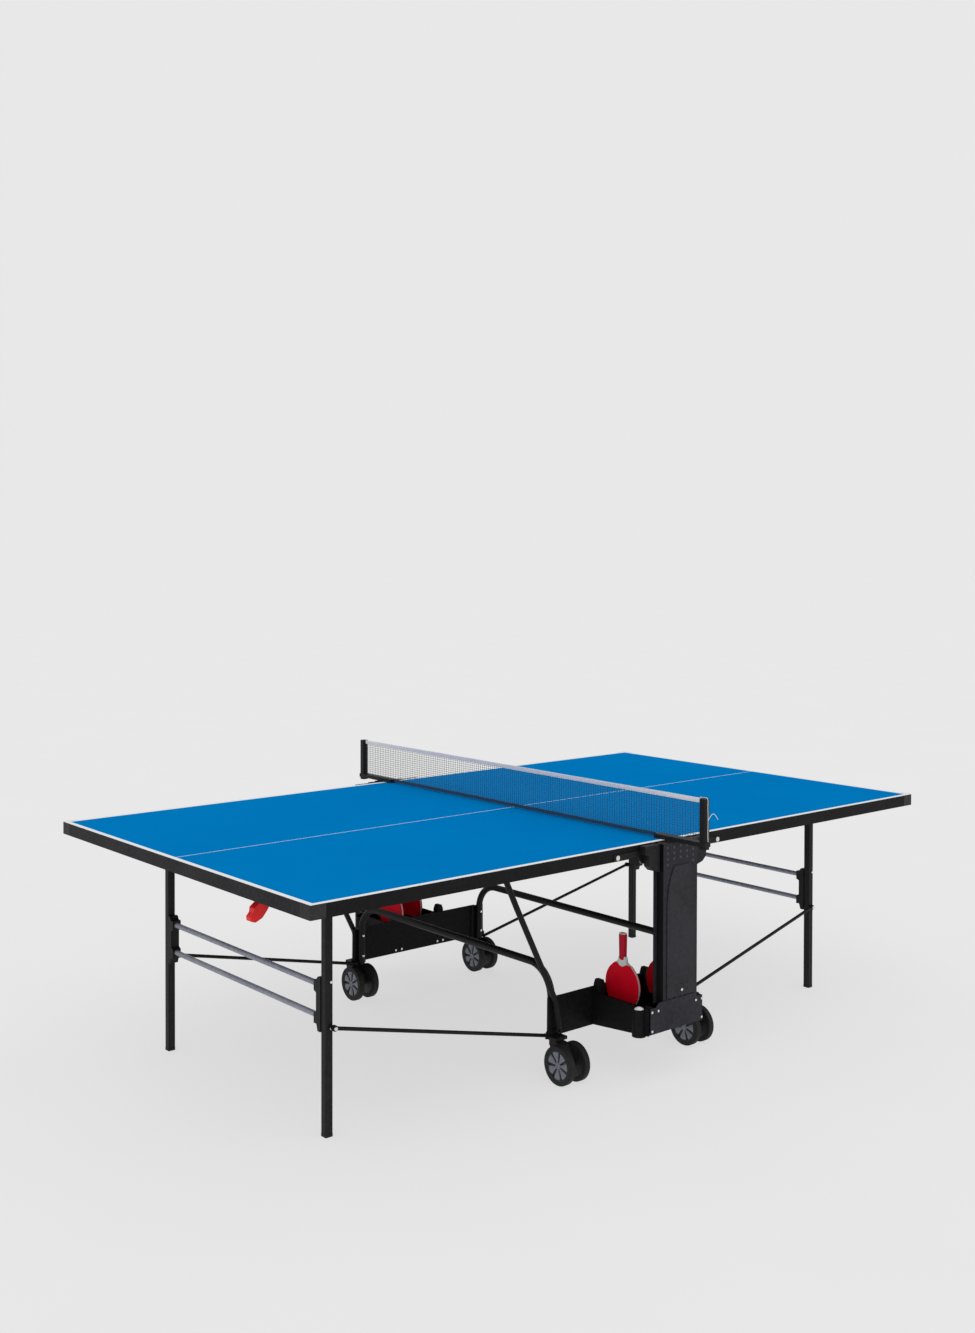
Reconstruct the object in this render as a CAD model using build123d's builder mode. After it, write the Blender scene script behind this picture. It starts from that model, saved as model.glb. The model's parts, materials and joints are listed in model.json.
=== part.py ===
from build123d import *
import os
from math import sin, cos, radians

os.makedirs("parts", exist_ok=True)

# ---------------------------------------------------------------- dimensions
# Frame: X along the table, Y across it, +Z up, origin on the floor at the
# middle of the table.  "left" is -X, "right" is +X, "near" is -Y, "far" is +Y.
TOP_L = 2740.0        # playing surface length
TOP_W = 1525.0        # playing surface width
TOP_H = 760.0         # playing surface height
GAP = 2.5             # half of the slit between the two halves
BOARD_T = 6.0         # laminate board
APRON_H = 40.0        # height of the steel edge channel
RAIL_T = 2.0          # sheet thickness of the edge channel
CAP = 50.0            # reach of a corner cap along each edge

HINGE_X = 235.0       # fold pivot of a half, measured from the middle
HINGE_Z = 732.0
LEG_X, LEG_Y = 1120.0, 470.0
LEG_S = 25.0          # square leg tube
LEG_HZ = 705.0        # leg hinge height

FRAME_X = 290.0       # trolley frame position along X
FRAME_Y = 525.0
TUBE_R = 12.5         # trolley frame tube radius
BEND_R = 100.0
CROSS_Z = 347.5       # centre of the trolley frame's cross member

STAY_Y = 558.0
STAY_AX, STAY_AZ = 288.0, 152.0     # lower pivot of a stay
STAY_BX, STAY_BZ = 528.0, 700.0     # upper end of a stay
ROD_AX, ROD_AZ = 314.0, 132.0       # lower pivot of a brace rod
ROD_BX, ROD_BZ = 1110.0, 316.0      # upper end of a brace rod
ROD_YA, ROD_YB = 524.5, 494.0

TOWER_X = 80.0        # half width of a tower
TOWER_C = 18.0        # middle of a tower along X
TOWER_Z0, TOWER_Z1 = 165.0, 755.0

WHEEL_R = 62.5
WHEEL_W = 22.0
TWIN = 32.5           # wheel centre to caster centre
CASTERS = {"near_left": (-300.0, -565.0), "far_left": (-300.0, 565.0),
           "near_right": (290.0, -565.0), "far_right": (290.0, 565.0)}
TRAIL = 45.0

POST_Y = 915.0
NET_TOP = 912.5


def save(builder, label):
    builder.part.label = label
    export_step(builder.part, "parts/" + label + ".step")


def mirrored(points, s):
    return [(s * a, b) for a, b in points]


# ---------------------------------------------------------------- halves of the top
for name, s in (("left", -1), ("right", 1)):
    # laminate board, kept just inside the steel edge channel
    with BuildPart() as board:
        with BuildSketch(Plane.XY.offset(TOP_H - BOARD_T)):
            with Locations((s * (TOP_L / 2 - RAIL_T - 0.3 + GAP) / 2, 0)):
                Rectangle(TOP_L / 2 - RAIL_T - 0.3 - GAP, TOP_W - 2 * RAIL_T - 0.6)
        extrude(amount=BOARD_T)
    save(board, name + "_board")

    # pressed steel edge channels: a web, a shelf for the board and a foot flange
    with BuildPart() as rails:
        shelf = TOP_H - BOARD_T
        foot = TOP_H - APRON_H
        x_in, x_out = s * GAP, s * TOP_L / 2
        for t in (-1, 1):
            y = t * TOP_W / 2
            prof = [(y, foot), (y, TOP_H - 0.4), (y - t * RAIL_T, TOP_H - 0.4), (y - t * RAIL_T, shelf),
                    (y - t * 27, shelf), (y - t * 27, shelf - 2), (y - t * RAIL_T, shelf - 2),
                    (y - t * RAIL_T, foot + 2), (y - t * 22, foot + 2), (y - t * 22, foot)]
            x0 = s * GAP
            x1 = s * (TOP_L / 2 - CAP)
            with BuildSketch(Plane.YZ.offset(min(x0, x1))):
                with BuildLine():
                    Polyline(*prof, close=True)
                make_face()
            extrude(amount=abs(x1 - x0))
        # outer end channel, between the corner caps
        d = -s
        prof = [(x_out, foot), (x_out, TOP_H - 0.4), (x_out + d * RAIL_T, TOP_H - 0.4), (x_out + d * RAIL_T, shelf),
                (x_out + d * 27, shelf), (x_out + d * 27, shelf - 2), (x_out + d * RAIL_T, shelf - 2),
                (x_out + d * RAIL_T, foot + 2), (x_out + d * 22, foot + 2), (x_out + d * 22, foot)]
        with BuildSketch(Plane.XZ.offset(-(TOP_W / 2 - CAP))):
            with BuildLine():
                Polyline(*prof, close=True)
            make_face()
        extrude(amount=2 * (TOP_W / 2 - CAP))
        # inner channel, which stays below the board
        prof = [(x_in, foot), (x_in, shelf), (x_in + s * 27, shelf), (x_in + s * 27, shelf - 2), (x_in + s * RAIL_T, shelf - 2),
                (x_in + s * RAIL_T, foot + 2), (x_in + s * 22, foot + 2), (x_in + s * 22, foot)]
        with BuildSketch(Plane.XZ.offset(-TOP_W / 2)):
            with BuildLine():
                Polyline(*prof, close=True)
            make_face()
        extrude(amount=TOP_W)
    save(rails, name + "_rails")

    # moulded caps on the two outer corners
    with BuildPart() as caps:
        for t in (-1, 1):
            xo, yo = s * TOP_L / 2, t * TOP_W / 2
            with BuildSketch(Plane.XY.offset(TOP_H - APRON_H)):
                with Locations((xo - s * CAP / 2, yo - t * CAP / 2)):
                    Rectangle(CAP, CAP)
                with Locations((xo - s * (CAP + 22) / 2 , yo - t * (CAP + 22) / 2)):
                    Rectangle(CAP - 22, CAP - 22, mode=Mode.SUBTRACT)
            extrude(amount=APRON_H - BOARD_T)
            with BuildSketch(Plane.XY.offset(TOP_H - BOARD_T)):
                with Locations((xo - s * CAP / 2, yo - t * CAP / 2)):
                    Rectangle(CAP, CAP)
                with Locations((xo - s * (CAP / 2 + RAIL_T + 0.15), yo - t * (CAP / 2 + RAIL_T + 0.15))):
                    Rectangle(CAP + 0.1, CAP + 0.1, mode=Mode.SUBTRACT)
            extrude(amount=BOARD_T)
        corner = caps.edges().filter_by(Axis.Z).filter_by(
            lambda e: abs(abs(e.center().X) - TOP_L / 2) < 0.1 and abs(abs(e.center().Y) - TOP_W / 2) < 0.1)
        fillet(corner, 5.5)
    save(caps, name + "_corner_caps")

    # cross bars under the board, with the lever bracket
    with BuildPart() as bars:
        for xb in (530.0, 760.0, 1120.0, 1290.0):
            with BuildSketch(Plane.XY.offset(729)):
                with Locations((s * xb, 0)):
                    Rectangle(30, TOP_W - 55)
            extrude(amount=TOP_H - BOARD_T - 729)
        # ears of the safety lever
        for dy in (-15.5, 15.5):
            with BuildSketch(Plane.XZ.offset(-(s * 400 + dy - 1.5))):
                with BuildLine():
                    Polyline((s * 1262, 729), (s * 1262, 700), (s * 1268, 692), (s * 1282, 692),
                             (s * 1304, 729), close=True)
                make_face()
                with Locations((s * 1275, 704)):
                    Circle(4, mode=Mode.SUBTRACT)
            extrude(amount=-3)
    save(bars, name + "_cross_bars")

    # stay guides: inverted channels in which the ends of the stays run
    if s < 0:
        with BuildPart() as guides:
            for t in (-1, 1):
                with BuildSketch(Plane.YZ.offset(-575)):
                    with BuildLine():
                        Polyline((t * (STAY_Y - 14), 684), (t * (STAY_Y - 14), 729), (t * (STAY_Y + 14), 729),
                                 (t * (STAY_Y + 14), 684), (t * (STAY_Y + 11.5), 684), (t * (STAY_Y + 11.5), 719),
                                 (t * (STAY_Y - 11.5), 719), (t * (STAY_Y - 11.5), 684), close=True)
                    make_face()
                extrude(amount=150)
        save(guides, name + "_stay_guides")

    # leg hinges: two ears and a pin for each leg; fold pivot bolts on the side rails
    with BuildPart() as hinges:
        for t in (-1, 1):
            for dy in (-15.0, 15.0):
                with BuildSketch(Plane.XZ.offset(-(t * LEG_Y + dy - 1.5))):
                    with BuildLine():
                        Polyline((s * (LEG_X - 20), 729), (s * (LEG_X - 20), 700), (s * (LEG_X - 12), 690),
                                 (s * (LEG_X + 12), 690), (s * (LEG_X + 20), 700), (s * (LEG_X + 20), 729), close=True)
                    make_face()
                extrude(amount=-3)
            with BuildSketch(Plane.XZ.offset(-(t * LEG_Y - 19))):
                with Locations((s * LEG_X, LEG_HZ)):
                    Circle(4)
            extrude(amount=-38)
        # fold pivot bolts on the side rails
        for t in (-1, 1):
            with BuildSketch(Plane.XZ.offset(-(TOP_W / 2) if t > 0 else TOP_W / 2)):
                with Locations((s * HINGE_X, HINGE_Z)):
                    Circle(4)
            extrude(amount=-3.6 * t)
            with BuildSketch(Plane.XZ.offset(-(TOP_W / 2 + 3.6) if t > 0 else TOP_W / 2 + 3.6)):
                with Locations((s * HINGE_X, HINGE_Z)):
                    Circle(8)
            extrude(amount=-3.0 * t)
    save(hinges, name + "_leg_hinges")

    # carriage: straps outside the side rails, running on the towers
    with BuildPart() as straps:
        for t in (-1, 1):
            ys = TOP_W / 2 + 0.6
            with BuildSketch(Plane.XZ.offset(-ys if t > 0 else ys)):
                with BuildLine():
                    Polyline((s * 250, 722), (s * 250, 742), (s * 99, 742), (s * 99, 700), (s * 125, 700),
                             (s * 145, 722), close=True)
                make_face()
                with Locations((s * HINGE_X, HINGE_Z)):
                    Circle(4.06, mode=Mode.SUBTRACT)
            extrude(amount=-2.5 * t)
    save(straps, name + "_hinge_straps")

    with BuildPart() as blocks:
        for t in (-1, 1):
            y0 = TOP_W / 2 + 3.1
            with BuildSketch(Plane.XZ.offset(-y0 if t > 0 else y0)):
                with BuildLine():
                    Polyline((TOWER_C + s * 84, 668), (TOWER_C + s * 118, 677), (TOWER_C + s * 134, 692),
                             (TOWER_C + s * 138, 727), (TOWER_C + s * 151, 731), (TOWER_C + s * 152, 757),
                             (TOWER_C + s * 84, 757), close=True)
                make_face()
            extrude(amount=-t * 24)
            # slot round the tower's lip
            with BuildSketch(Plane.XY.offset(660)):
                with Locations((TOWER_C + s * 89, t * 771)):
                    Rectangle(14, 4)
            extrude(amount=100, mode=Mode.SUBTRACT)
    save(blocks, name + "_guide_blocks")

    # legs: two square tubes
    with BuildPart() as legs:
        for t in (-1, 1):
            with BuildSketch(Plane.XY.offset(9)):
                with Locations((s * LEG_X, t * LEG_Y)):
                    RectangleRounded(LEG_S, LEG_S, 3)
                    RectangleRounded(LEG_S - 3, LEG_S - 3, 1.5, mode=Mode.SUBTRACT)
            extrude(amount=LEG_HZ + 12.5 - 9)
            with BuildSketch(Plane.XZ.offset(-(t * LEG_Y - 20))):
                with Locations((s * LEG_X, LEG_HZ)):
                    Circle(4.06)
            extrude(amount=-40, mode=Mode.SUBTRACT)
    save(legs, name + "_legs")

    with BuildPart() as feet:
        for t in (-1, 1):
            # moulded plug: a sole under the tube and a stub up inside it
            with BuildSketch(Plane.XY):
                with Locations((s * LEG_X, t * LEG_Y)):
                    RectangleRounded(26, 26, 3.5)
            extrude(amount=9)
            with BuildSketch(Plane.XY.offset(9)):
                with Locations((s * LEG_X, t * LEG_Y)):
                    RectangleRounded(21.8, 21.8, 1.4)
            extrude(amount=26)
    save(feet, name + "_feet")

    # two round tubes between the legs, in moulded brackets
    with BuildPart() as cross:
        for z in (431.0, 339.0):
            with BuildSketch(Plane.XZ.offset(-440)):
                with Locations((s * LEG_X, z)):
                    Circle(8.5)
                    Circle(7.2, mode=Mode.SUBTRACT)
            extrude(amount=880)
    save(cross, name + "_cross_tubes")

    with BuildPart() as brackets:
        for t in (-1, 1):
            y0 = t * (LEG_Y - LEG_S / 2)
            with BuildSketch(Plane.YZ.offset(s * LEG_X - 15)):
                with BuildLine():
                    Polyline((y0, 300), (y0, 458), (y0 - t * 14, 458), (y0 - t * 20, 446), (y0 - t * 34, 446),
                             (y0 - t * 34, 416), (y0 - t * 22, 410), (y0 - t * 22, 356), (y0 - t * 34, 350),
                             (y0 - t * 34, 320), (y0 - t * 20, 320), (y0 - t * 14, 300), close=True)
                make_face()
            extrude(amount=30)
            for z in (431.0, 339.0):
                with BuildSketch(Plane.XZ.offset(-440)):
                    with Locations((s * LEG_X, z)):
                        Circle(8.5)
                extrude(amount=880, mode=Mode.SUBTRACT)
    save(brackets, name + "_tube_brackets")

    # stays: bent tubes from the trolley to the guides under the left half
    with BuildPart() as stays:
        for t in (-1, 1):
            pl = Plane(origin=(0, t * STAY_Y, 0), x_dir=(1, 0, 0), z_dir=(0, -1, 0))
            with BuildLine(pl) as path:
                FilletPolyline((s * STAY_AX, STAY_AZ + 8), (s * 300, 245), (s * 470, 575), (s * STAY_BX, STAY_BZ - 6),
                               radius=60)
            with BuildSketch(Plane(origin=path.line @ 0, z_dir=path.line % 0)):
                Circle(9.5)
            sweep(path=path.line)
            with BuildSketch(Plane.XZ.offset(-(t * STAY_Y) - 5)):
                with Locations((s * STAY_AX, STAY_AZ)):
                    Circle(10)
            extrude(amount=10)
            with BuildSketch(Plane.XZ.offset(-(t * STAY_Y) - 10)):
                with Locations((s * STAY_BX, STAY_BZ)):
                    Circle(8)
            extrude(amount=20)
            with BuildSketch(Plane.XZ.offset(-(t * STAY_Y) - 12)):
                with Locations((s * STAY_AX, STAY_AZ)):
                    Circle(4.06)
            extrude(amount=24, mode=Mode.SUBTRACT)
    if s < 0:
        save(stays, name + "_stays")

    # brace rods from the trolley to the legs
    with BuildPart() as rods:
        for t in (-1, 1):
            a = Vector(s * ROD_AX, t * ROD_YA, ROD_AZ)
            b = Vector(s * ROD_BX, t * ROD_YB, ROD_BZ)
            d = (b - a).normalized()
            with BuildSketch(Plane(origin=a + d * 4, z_dir=d)):
                Circle(5.75)
            extrude(amount=(b - a).length - 8)
            with BuildSketch(Plane.XZ.offset(-(t * ROD_YA) - 4.5)):
                with Locations((s * ROD_AX, ROD_AZ)):
                    Circle(6)
            extrude(amount=9)
            with BuildSketch(Plane.XZ.offset(-(t * ROD_YB) - 5)):
                with Locations((s * ROD_BX, ROD_BZ)):
                    Circle(9)
            extrude(amount=10)
            # bolt from the rod's flattened end to the leg
            with BuildSketch(Plane.XZ.offset(-(t * (LEG_Y + LEG_S / 2 + 9.6)) - 9.5)):
                with Locations((s * ROD_BX, ROD_BZ)):
                    Circle(5)
            extrude(amount=19)
            with BuildSketch(Plane.XZ.offset(-(t * ROD_YA) - 7)):
                with Locations((s * ROD_AX, ROD_AZ)):
                    Circle(3.06)
            extrude(amount=14, mode=Mode.SUBTRACT)
    save(rods, name + "_brace_rods")

    # red safety lever under the half
    with BuildPart() as lever:
        with BuildSketch(Plane.XZ.offset(-(s * 400) - 13)):
            with BuildLine():
                Polyline((s * 1264, 700), (s * 1268, 713), (s * 1284, 713), (s * 1296, 703), (s * 1310, 693),
                         (s * 1327, 680), (s * 1328, 667), (s * 1338, 655), (s * 1336, 643), (s * 1322, 639),
                         (s * 1300, 649), (s * 1284, 668), close=True)
            make_face()
        extrude(amount=26)
        fillet(lever.edges().filter_by(Axis.Y), 3)
        with BuildSketch(Plane.XZ.offset(-(s * 400) - 19)):
            with Locations((s * 1275, 704)):
                Circle(3.95)
        extrude(amount=38)
    save(lever, name + "_safety_lever")

    # inverted-U frame of the trolley
    with BuildPart() as uframe:
        pl = Plane(origin=(s * FRAME_X, 0, 0), x_dir=(0, 1, 0), z_dir=(1, 0, 0))
        with BuildLine(pl) as path:
            FilletPolyline((-FRAME_Y, 128), (-FRAME_Y, CROSS_Z), (FRAME_Y, CROSS_Z), (FRAME_Y, 128), radius=BEND_R)
        with BuildSketch(Plane(origin=path.line @ 0, z_dir=path.line % 0)):
            Circle(TUBE_R)
            Circle(TUBE_R - 1.5, mode=Mode.SUBTRACT)
        sweep(path=path.line)
    save(uframe, name + "_u_frame")

# ---------------------------------------------------------------- trolley base
with BuildPart() as panels:
    for t in (-1, 1):
        with BuildSketch(Plane.XZ.offset(-(t * 544) - 1)):
            with Locations((0, 196.5)):
                RectangleRounded(560, 127, 3)
        extrude(amount=2)
save(panels, "side_panels")

with BuildPart() as base:
    for key, (cx, cy) in CASTERS.items():
        s = 1 if cx > 0 else -1
        t = 1 if cy > 0 else -1
        # upright plate beside the frame tube
        with BuildSketch(Plane.XZ.offset(-(t * 540.25) - 2.75)):
            with BuildLine():
                Polyline((s * 328, 127), (s * 328, 144), (s * 321, 152), (s * 320, 258), (s * 262, 258),
                         (s * 262, 127), close=True)
            make_face()
        extrude(amount=5.5)
        # socket of the caster stem
        with BuildSketch(Plane.XY.offset(127)):
            with Locations((s * 298, t * 562)):
                Rectangle(52, 39)
            with Locations((cx, cy)):
                Circle(6.06, mode=Mode.SUBTRACT)
        extrude(amount=10)
        # pin of the brace rod, inboard, and pin of the stay, outboard
        with BuildSketch(Plane.XZ.offset(-(t * 528) - 10.5)):
            with Locations((s * ROD_AX, ROD_AZ)):
                Circle(3)
        extrude(amount=21)
        with BuildSketch(Plane.XZ.offset(-(t * 555.5) - 14)):
            with Locations((s * STAY_AX, STAY_AZ)):
                Circle(4)
        extrude(amount=28)
    # the panels stand in slots across the sockets
    for t in (-1, 1):
        with BuildSketch(Plane.XZ.offset(-(t * 544.125) - 1.125)):
            with Locations((0, 196.5)):
                Rectangle(560.6, 127.6)
        extrude(amount=2.25, mode=Mode.SUBTRACT)
save(base, "base_brackets")

for name, t in (("near", -1), ("far", 1)):
    # bat and ball tray on the outer side of the panel
    with BuildPart() as tray:
        for xw in (-125.25, 125.25):
            with BuildSketch(Plane.YZ.offset(xw - 1.25)):
                with BuildLine():
                    Polyline((t * 545, 135), (t * 798, 158), (t * 798, 243), (t * 545, 243), close=True)
                make_face()
            extrude(amount=2.5)
        with BuildSketch(Plane.XY.offset(187)):
            with Locations((0, t * 671.5)):
                Rectangle(250, 253)
        extrude(amount=2.5)
        with BuildSketch(Plane.XY.offset(160)):
            for yw in (546.25, 796.75):
                with Locations((0, t * yw)):
                    Rectangle(250, 2.5)
        extrude(amount=83)
        with BuildSketch(Plane.XY.offset(189.5)):
            for xw in (-88, -42, 42, 88):
                with Locations((xw, t * 671.5)):
                    Rectangle(2.5, 250)
        extrude(amount=40)
        # raised ends of the bat racks
        for sx in (-1, 1):
            with BuildSketch(Plane.XZ.offset(-(t * 780.5) - 13)):
                with BuildLine():
                    Polyline((sx * 125, 200), (sx * 123, 238), (sx * 114, 245), (sx * 103, 245), (sx * 98, 238),
                             (sx * 97, 200), close=True)
                make_face()
            extrude(amount=26)
            with BuildSketch(Plane.XZ.offset(-(t * 562) - 13)):
                with BuildLine():
                    Polyline((sx * 125, 200), (sx * 123, 268), (sx * 116, 284), (sx * 102, 284), (sx * 95, 268),
                             (sx * 92, 200), close=True)
                make_face()
            extrude(amount=26)
        # ball cups on the outer corners
        for sx in (-1, 1):
            with BuildSketch(Plane.XY.offset(150)):
                with Locations((sx * 126.5, t * 757)):
                    Circle(22.5)
            extrude(amount=88)
        for sx in (-1, 1):
            with BuildSketch(Plane.XY.offset(203)):
                with Locations((sx * 126.5, t * 757)):
                    Circle(20.4)
            extrude(amount=150, mode=Mode.SUBTRACT)
    save(tray, name + "_tray")

with BuildPart() as plates:
    for t in (-1, 1):
        with BuildSketch(Plane.XZ.offset(-(t * 801.5) - 1.5)):
            with BuildLine():
                Polyline((-122, 163), (122, 163), (122, 245), (96, 245), (84, 258), (-84, 258), (-96, 245),
                         (-122, 245), close=True)
            make_face()
        extrude(amount=3)
save(plates, "front_plates")

with BuildPart() as towers:
    for t in (-1, 1):
        with BuildSketch(Plane.XY.offset(TOWER_Z0)):
            with BuildLine():
                Polyline(*[(TOWER_C + a, t * b) for a, b in (
                    (-80, 800), (80, 800), (80, 772), (95, 772), (95, 770), (78, 770), (78, 798), (-78, 798),
                    (-78, 770), (-95, 770), (-95, 772), (-80, 772))], close=True)
            make_face()
        extrude(amount=TOWER_Z1 - TOWER_Z0)
        # behind the web the foot of the channel is cut away for the tray
        with BuildSketch(Plane.XY.offset(150)):
            with Locations((0, t * 782)):
                Rectangle(260, 32)
        extrude(amount=97, mode=Mode.SUBTRACT)
        # cap plate that carries the net post
        with BuildSketch(Plane.XY.offset(TOWER_Z1)):
            with Locations((TOWER_C, t * 785)):
                Rectangle(160, 30)
        extrude(amount=3)
save(towers, "towers")

with BuildPart() as covers:
    for t in (-1, 1):
        with BuildSketch(Plane.XZ.offset(-(t * 801.5) - 1.5)):
            with BuildLine():
                c = TOWER_C
                Polyline((c - 64, 520), (c - 64, 262), (c + 64, 262), (c + 64, 520))
                Spline((c + 64, 520), (c + 60, 610), (c + 42, 683), tangents=((0, 1), (-0.45, 0.89)))
                Line((c + 42, 683), (c - 30, 683))
                Spline((c - 30, 683), (c - 58, 610), (c - 64, 520), tangents=((-0.55, -0.83), (0, -1)))
            make_face()
        extrude(amount=3)
save(covers, "tower_covers")

with BuildPart() as tbolts:
    for t in (-1, 1):
        for x, z in ((-116.5, 234), (-88.5, 234), (-116.5, 173.5), (88.5, 234), (116.5, 234), (116.5, 173.5)):
            with BuildSketch(Plane.XZ.offset(-(t * 804.5) - 1.5)):
                with Locations((x, z)):
                    Circle(4)
            extrude(amount=3)
        for x, z in ((-116, 145), (-88, 145), (88, 145), (116, 145)):
            with BuildSketch(Plane.XZ.offset(-(t * 541.5) - 1.5)):
                with Locations((x, z)):
                    Circle(4)
            extrude(amount=3)
save(tbolts, "trolley_bolts")

# ---------------------------------------------------------------- casters
for key, (cx, cy) in CASTERS.items():
    ay = cy - TRAIL
    with BuildPart() as fork:
        # housing between the twin wheels, from the axle up to the stem
        with BuildSketch(Plane.YZ.offset(cx - 18)):
            with BuildLine():
                Polyline((ay - 12, 52), (ay - 16, 66), (ay - 10, 92), (ay + 12, 118), (cy - 20, 124), (cy + 20, 124),
                         (cy + 20, 112), (cy + 8, 90), (ay + 16, 58), (ay + 8, 50), close=True)
            make_face()
        extrude(amount=36)
        with BuildSketch(Plane.XY.offset(123)):
            with Locations((cx, cy)):
                Circle(6)
        extrude(amount=13)
        with BuildSketch(Plane.YZ.offset(cx - 20)):
            with Locations((ay, 62.5)):
                Circle(5.06)
        extrude(amount=40, mode=Mode.SUBTRACT)
    save(fork, key + "_fork")

    with BuildPart() as hubs:
        for sx in (-1, 1):
            xc = cx + sx * TWIN
            with BuildSketch(Plane.YZ.offset(xc - WHEEL_W / 2 + 1)):
                with Locations((ay, WHEEL_R)):
                    Circle(47)
            extrude(amount=WHEEL_W - 2)
            # seven tapered pockets between the spokes
            face_x = xc + sx * (WHEEL_W / 2 - 1)
            with BuildSketch(Plane.YZ.offset(face_x)):
                for k in range(7):
                    a = radians(360 / 7 * k + 12)
                    b = radians(14)
                    with BuildLine():
                        Polyline((ay + 15 * cos(a), WHEEL_R + 15 * sin(a)),
                                 (ay + 41 * cos(a - b), WHEEL_R + 41 * sin(a - b)),
                                 (ay + 41 * cos(a + b), WHEEL_R + 41 * sin(a + b)), close=True)
                    make_face()
            extrude(amount=-sx * 5, mode=Mode.SUBTRACT)
        with BuildSketch(Plane.YZ.offset(cx - TWIN - WHEEL_W / 2)):
            with Locations((ay, WHEEL_R)):
                Circle(5)
        extrude(amount=2 * TWIN + WHEEL_W)
    save(hubs, key + "_hubs")

    with BuildPart() as tyres:
        for sx in (-1, 1):
            with BuildSketch(Plane.YZ.offset(cx + sx * TWIN - WHEEL_W / 2)):
                with Locations((ay, WHEEL_R)):
                    Circle(WHEEL_R)
                    Circle(47, mode=Mode.SUBTRACT)
            extrude(amount=WHEEL_W)
        fillet(tyres.edges().filter_by(GeomType.CIRCLE).filter_by(lambda e: e.radius > 60), 3.5)
    save(tyres, key + "_tyres")

# ---------------------------------------------------------------- net
with BuildPart() as posts:
    for t in (-1, 1):
        with BuildSketch(Plane.XY.offset(761)):
            with Locations((0, t * 821)):
                RectangleRounded(30, 218, 5)
        extrude(amount=13)
        with BuildSketch(Plane.XY.offset(752)):
            with Locations((0, t * POST_Y)):
                RectangleRounded(24, 24, 4)
        extrude(amount=160)
        with BuildSketch(Plane.XY.offset(TOWER_Z1 + 3)):
            with Locations((0, t * 785)):
                Rectangle(60, 28)
        extrude(amount=3)
save(posts, "net_posts")

with BuildPart() as net:
    with BuildSketch(Plane.YZ.offset(-0.5)):
        with BuildLine():
            Polyline((-903, 775), (-711, 775), (-711, 763), (711, 763), (711, 775), (903, 775),
                     (903, 897.2), (-903, 897.2), close=True)
        make_face()
    extrude(amount=1)
save(net, "net_mesh")

with BuildPart() as tape:
    with BuildSketch(Plane.YZ.offset(-1.5)):
        with Locations((0, (897.2 + NET_TOP) / 2)):
            Rectangle(1806, NET_TOP - 897.2)
    extrude(amount=3)
save(tape, "net_tape")

# tension cord: from the arm up the outside of the near post and over it to the band, with a loose tail
CORDS = ([(0, -930, 778), (-0.8, -929.4, 812), (0.8, -929.6, 850), (-0.6, -929.4, 884), (0, -929.6, 908), (0, -926.4, 914.8),
          (0, -917, 915.6), (0, -907, 914.6), (0, -899, 914.9)],
         [(1.2, -930.4, 846), (6, -932.5, 856), (14, -935.5, 866), (23, -938, 863), (30, -940, 852), (34, -941, 846)])
with BuildPart() as cord:
    for pts in CORDS:
        with BuildLine() as path:
            radii = []
            for i in range(1, len(pts) - 1):
                p, q, r = Vector(*pts[i - 1]), Vector(*pts[i]), Vector(*pts[i + 1])
                turn = (q - p).get_angle(r - q)
                short = min((q - p).length, (r - q).length)
                radii.append(min(60, 0.45 * short / (sin(radians(turn / 2)) / cos(radians(turn / 2))) if turn > 0.01 else 60))
            FilletPolyline(*pts, radius=radii)
        with BuildSketch(Plane(origin=path.line @ 0, z_dir=path.line % 0)):
            Circle(1.0)
        sweep(path=path.line)
save(cord, "net_cord")

# ---------------------------------------------------------------- bats and ball
for k, (x, y) in enumerate(((-65, -626), (65, -688), (-65, 640), (65, 690))):
    with BuildPart() as bat:
        with BuildSketch(Plane.YZ.offset(x - 6)):
            with Locations((y, 268.2)):
                Ellipse(75, 78.5)
            with Locations((y, 345)):
                Rectangle(34, 30)
        extrude(amount=12)
        with BuildSketch(Plane.YZ.offset(x - 11)):
            with Locations((y, 392)):
                RectangleRounded(27, 98, 6)
        extrude(amount=22)
    save(bat, "bat_%d" % (k + 1))

with BuildPart() as ball:
    with Locations((-126.5, -757, 223.2)):
        Sphere(20)
save(ball, "spare_ball")
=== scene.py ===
import bpy, bmesh, json
from math import sin, cos, radians, pi, sqrt
from mathutils import Vector, Matrix


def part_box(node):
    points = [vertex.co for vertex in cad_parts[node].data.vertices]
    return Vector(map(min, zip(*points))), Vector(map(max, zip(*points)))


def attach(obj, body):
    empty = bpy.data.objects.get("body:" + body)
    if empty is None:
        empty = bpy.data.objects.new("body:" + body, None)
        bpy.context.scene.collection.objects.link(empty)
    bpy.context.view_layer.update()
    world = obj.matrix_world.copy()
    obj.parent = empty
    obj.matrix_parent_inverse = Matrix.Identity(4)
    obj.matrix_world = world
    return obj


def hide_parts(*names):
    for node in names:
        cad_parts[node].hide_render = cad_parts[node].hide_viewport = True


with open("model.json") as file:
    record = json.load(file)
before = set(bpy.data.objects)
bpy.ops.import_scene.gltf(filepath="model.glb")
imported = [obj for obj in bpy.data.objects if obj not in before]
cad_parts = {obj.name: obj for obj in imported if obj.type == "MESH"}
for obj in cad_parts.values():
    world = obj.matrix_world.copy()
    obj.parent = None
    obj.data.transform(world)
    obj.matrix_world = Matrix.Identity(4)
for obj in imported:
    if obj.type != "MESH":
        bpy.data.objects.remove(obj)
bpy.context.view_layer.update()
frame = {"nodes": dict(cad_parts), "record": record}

nodes = frame["nodes"]
scene = bpy.context.scene

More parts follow.
